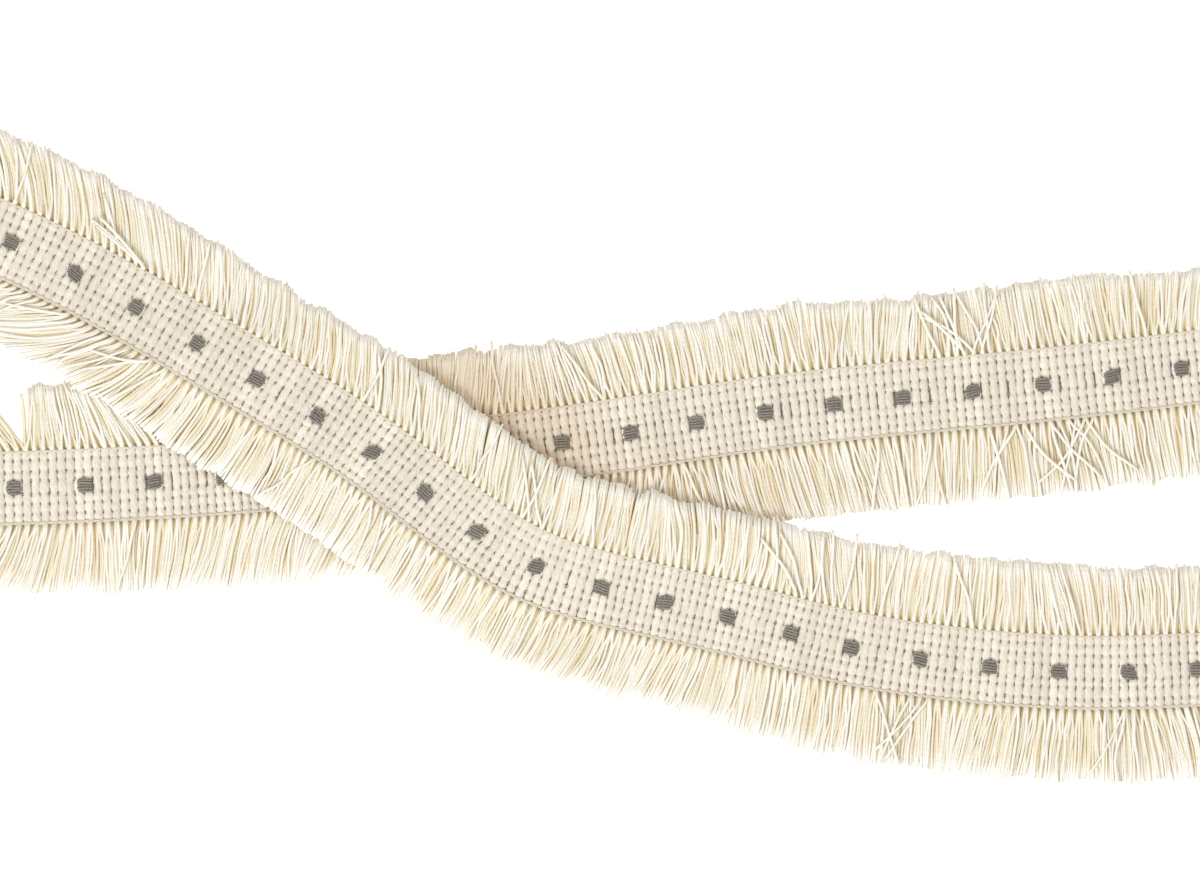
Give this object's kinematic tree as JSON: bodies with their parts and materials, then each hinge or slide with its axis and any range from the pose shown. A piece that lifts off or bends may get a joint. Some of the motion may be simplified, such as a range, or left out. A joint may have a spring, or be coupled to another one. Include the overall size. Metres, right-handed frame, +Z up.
{
  "type": "dot fringe trim",
  "caption": "Flat woven trim with raised ribs, grey woven dots along its middle and a cut brush fringe on both edges, lying in one crossing loop.",
  "frame": {"origin": "under the middle of the part's box, on the surface it lies on", "axes": "+X along the lower stretch, from the cut ends to the turn; +Z up from the surface to the dotted face"},
  "size_m": [0.4846, 0.1963, 0.0051],
  "materials": {
    "tape": "matte woven cotton, pinkish beige, with raised cross ribs",
    "fringe": "matte cut cotton yarn, cream",
    "dot": "matte cotton yarn floats, warm grey"
  },
  "bodies": {
    "root": {"tape": "tape", "fringe_left_upper_a": "fringe", "fringe_left_upper_b": "fringe", "fringe_left_turn_a": "fringe", "fringe_left_turn_b": "fringe", "fringe_left_lower": "fringe", "fringe_right_upper_a": "fringe", "fringe_right_upper_b": "fringe", "fringe_right_turn_a": "fringe", "fringe_right_turn_b": "fringe", "fringe_right_lower": "fringe", "dot_01": "dot", "dot_02": "dot", "dot_03": "dot", "dot_04": "dot", "dot_05": "dot", "dot_06": "dot", "dot_07": "dot", "dot_08": "dot", "dot_09": "dot", "dot_10": "dot", "dot_11": "dot", "dot_12": "dot", "dot_13": "dot", "dot_14": "dot", "dot_15": "dot", "dot_16": "dot", "dot_17": "dot", "dot_18": "dot", "dot_19": "dot", "dot_20": "dot", "dot_21": "dot", "dot_22": "dot", "dot_23": "dot", "dot_24": "dot", "dot_25": "dot", "dot_26": "dot", "dot_27": "dot", "dot_28": "dot", "dot_29": "dot", "dot_30": "dot", "dot_31": "dot", "dot_32": "dot", "dot_33": "dot", "dot_34": "dot", "dot_35": "dot", "dot_36": "dot", "dot_37": "dot", "dot_38": "dot", "dot_39": "dot", "dot_40": "dot", "dot_41": "dot", "dot_42": "dot", "dot_43": "dot", "dot_44": "dot", "dot_45": "dot", "dot_46": "dot"}
  },
  "joints": []
}
